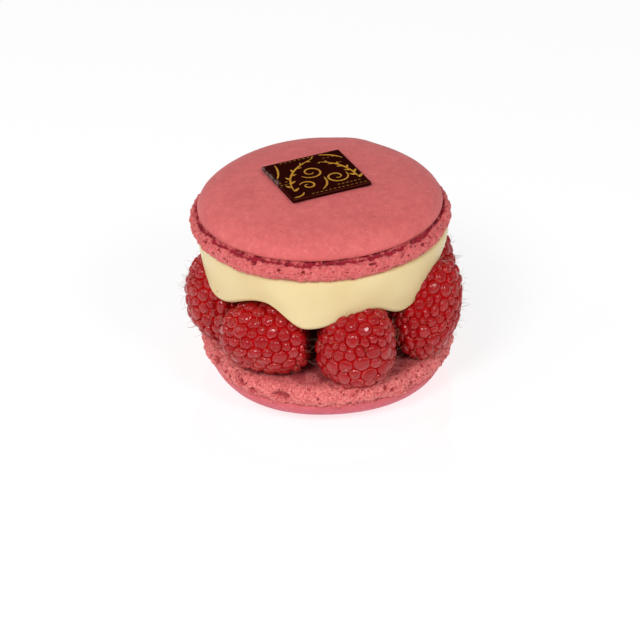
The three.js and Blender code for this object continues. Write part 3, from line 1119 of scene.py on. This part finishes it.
def printedLine(curve, width, relief, swell):  # a flat raised line with rounded edges
    tree = treeOf(curve)
    upright = geo(tree, "SetCurveNormal", {"Curve": curve}, mode="Z_UP")
    ring = geo(tree, "CurvePrimitiveCircle", {"Resolution": 8, "Radius": 0.5})
    flat = geo(tree, "Transform", {"Geometry": ring, "Scale": vectorOf(tree, X=width, Y=relief, Z=1.0)})
    return geo(tree, "CurveToMesh", {
        "Curve": upright, "Profile Curve": flat, "Scale": swell, "Fill Caps": True,
    })


def makeStrokeTree(material):
    tree, source = newTree("goldStroke", {"Width": 0.0005, "Relief": 0.00006})
    swell = calc("SINE", geo(tree, "SplineParameter") * math.pi)
    swell = calc("MULTIPLY_ADD", swell ** 0.6, 0.75, 0.3)
    line = printedLine(source["Geometry"], source["Width"], source["Relief"], swell)
    return finishTree(tree, line, material)


def makeLeafTree(material):
    sizes = {"Leaf Length": 0.003, "Leaf Width": 0.0011, "Relief": 0.00006, "Leaves": 11, "Spread": 0.8}
    tree, source = newTree("leafSpray", sizes)
    line = geo(tree, "CurvePrimitiveLine", {"End": vectorOf(tree, X=source["Leaf Length"])})
    line = geo(tree, "ResampleCurve", {"Curve": line, "Count": 13})
    along = geo(tree, "SplineParameter")
    swell = largest(calc("SINE", along ** 0.8 * math.pi), 0.0) + 0.04
    leaf = printedLine(line, source["Leaf Width"], source["Relief"], swell)
    spots = geo(tree, "ResampleCurve", {"Curve": source["Geometry"], "Count": source["Leaves"]})
    tangent = geo(tree, "InputTangent")
    forward = make(tree, "FunctionNodeAlignRotationToVector", {"Vector": tangent}, axis="X", pivot_axis="Z")
    side = calc("MODULO", geo(tree, "InputIndex"), 2.0) * 2.0 - 1.0
    swing = vectorOf(tree, Z=side * source["Spread"])
    leaves = geo(tree, "InstanceOnPoints", {
        "Points": spots, "Instance": leaf, "Rotation": turnedBy(forward, swing), "Scale": 1.0 - along * 0.5,
    })
    return finishTree(tree, leaves, material)


def curveObject(name, lines):
    data = bpy.data.curves.new(name, "CURVE")
    data.dimensions = "3D"
    for line in lines:
        spline = data.splines.new("POLY")
        spline.points.add(len(line) - 1)
        for point, (x, y) in zip(spline.points, line):
            point.co = (x * mm, y * mm, 0, 1)
    return addObject(name, data)


def arch(start, pull, end, count=28):  # a bent line from start to end, drawn towards pull
    steps = np.linspace(0, 1, count)[:, None]
    start, pull, end = (np.array(point, float) for point in (start, pull, end))
    return (1 - steps) ** 2 * start + 2 * steps * (1 - steps) * pull + steps**2 * end


def tendril(middle, radius, start, turns, count=44):  # a spiral that closes in on its middle
    steps = np.linspace(0, 1, count)
    angle = math.radians(start) + 2 * math.pi * turns * steps
    reach = radius * (1 - 0.8 * steps)
    return np.stack([middle[0] + reach * np.cos(angle), middle[1] + reach * np.sin(angle)], axis=1)


def dotRow(start, end, count, width=0.75):  # short dashes in a row
    along = (np.array(end, float) - start) / (count - 1)
    half = along / np.linalg.norm(along) * width / 2
    return [[start + along * n - half, start + along * n + half] for n in range(count)]


def makeGold():
    material = makeGoldMaterial()
    stems = [arch((-9.6, -6.8), (-8.8, 5.2), (2.8, 9.4)), arch((10.4, -7.0), (10.6, 3.0), (4.4, 6.4))]
    curls = [
        tendril((-0.8, 2.0), 3.6, 200, 1.35), tendril((4.8, -3.6), 3.6, 20, -1.4),
        tendril((-4.6, -5.0), 2.5, 150, -1.2),
        arch((-11.0, 2.4), (-8.6, 6.0), (-8.4, 10.4)), arch((5.4, 10.6), (9.2, 9.8), (11.0, 6.2)),
        arch((-1.8, -9.0), (1.6, -6.8), (1.4, -2.4)), arch((-11.2, -10.2), (-8.4, -10.6), (-7.4, -8.4)),
    ]
    dashes = []
    for level, start, end, count in (
        (-10.2, -5.4, 10.8, 13), (-0.4, -11.4, -9.4, 2), (-1.8, -11.4, -8.9, 3), (8.2, 6.0, 8.8, 3),
        (4.0, 7.0, 9.2, 3), (-8.4, 3.4, 9.8, 6), (10.6, -6.4, 3.6, 8),
    ):
        dashes += dotRow(np.array([start, level]), (end, level), count)
    sizes = {name: value * mm for name, value in goldPrint["sizes"].items()}
    for name, lines, tree in (
        ("goldLines", stems + curls + dashes, makeStrokeTree(material)),
        ("goldLeaves", stems, makeLeafTree(material)),
    ):
        piece = applyTree(curveObject(name, lines), tree, dict(sizes, Leaves=goldPrint["leaves"]))
        piece.data.transform(squareMatrix())
        dress(piece, material, "chocolate")
    say("gold print")


makeChocolate()
makeGold()


# Floor, light and camera

studio = {
    "floorSize": 6.0,
    "worldSeen": (1.0, 1.0, 1.0, 1.0),
    "worldLight": (0.33, 0.33, 0.34, 1.0),
    "lamps": [  # place in metres, size in metres, watts
        ((-0.34, -0.72, 0.78), 0.32, 5.3),
        ((0.5, -0.62, 0.74), 0.26, 2.8),
        ((-0.75, -0.1, 0.5), 0.45, 1.0),
    ],
    "lampTarget": (0, 0, 0.03),
    "floorGlow": 0.73,  # keeps the table white under a dark mirror image
    "camera": (-0.001973, -0.78461, 0.47285),
    "elevation": 30.3,
    "lens": 174.9,
}


def makeFloor():
    size = studio["floorSize"] / mm
    corners = [(-size, -size, 0), (size, -size, 0), (size, size, 0), (-size, size, 0)]
    floor = meshObject("floor", corners, [(0, 1, 2, 3)])
    material, _, _ = newMaterial(
        "whiteTable", Base_Color=(0.34, 0.34, 0.34, 1), Roughness=0.06, Specular_IOR_Level=0.9,
        Emission_Color=(1, 1, 1, 1), Emission_Strength=studio["floorGlow"],
    )
    floor.data.materials.append(material)


def makeLights():
    target = Vector(studio["lampTarget"])
    for number, (spot, size, watts) in enumerate(studio["lamps"]):
        data = bpy.data.lights.new(f"softbox{number}", "AREA")
        data.size, data.energy = size, watts
        lamp = addObject(data.name, data)
        lamp.location = spot
        lamp.rotation_euler = (target - Vector(spot)).to_track_quat("-Z", "Y").to_euler()
    world = bpy.data.worlds.new("studio")
    world.use_nodes = True
    seen = addNode(world.node_tree, "ShaderNodeLightPath")["Is Camera Ray"]
    background = world.node_tree.nodes["Background"].inputs["Color"]
    plug(background, mixColor(seen, studio["worldLight"], studio["worldSeen"]))
    bpy.context.scene.world = world


def makeCamera():
    data = bpy.data.cameras.new("camera")
    data.lens = studio["lens"]
    data.sensor_width = 36
    camera = addObject("camera", data)
    camera.location = studio["camera"]
    camera.rotation_euler = (math.radians(90 - studio["elevation"]), 0, 0)
    bpy.context.scene.camera = camera


makeFloor()
makeLights()
makeCamera()
bpy.context.scene.view_settings.view_transform = "Standard"
say("studio")
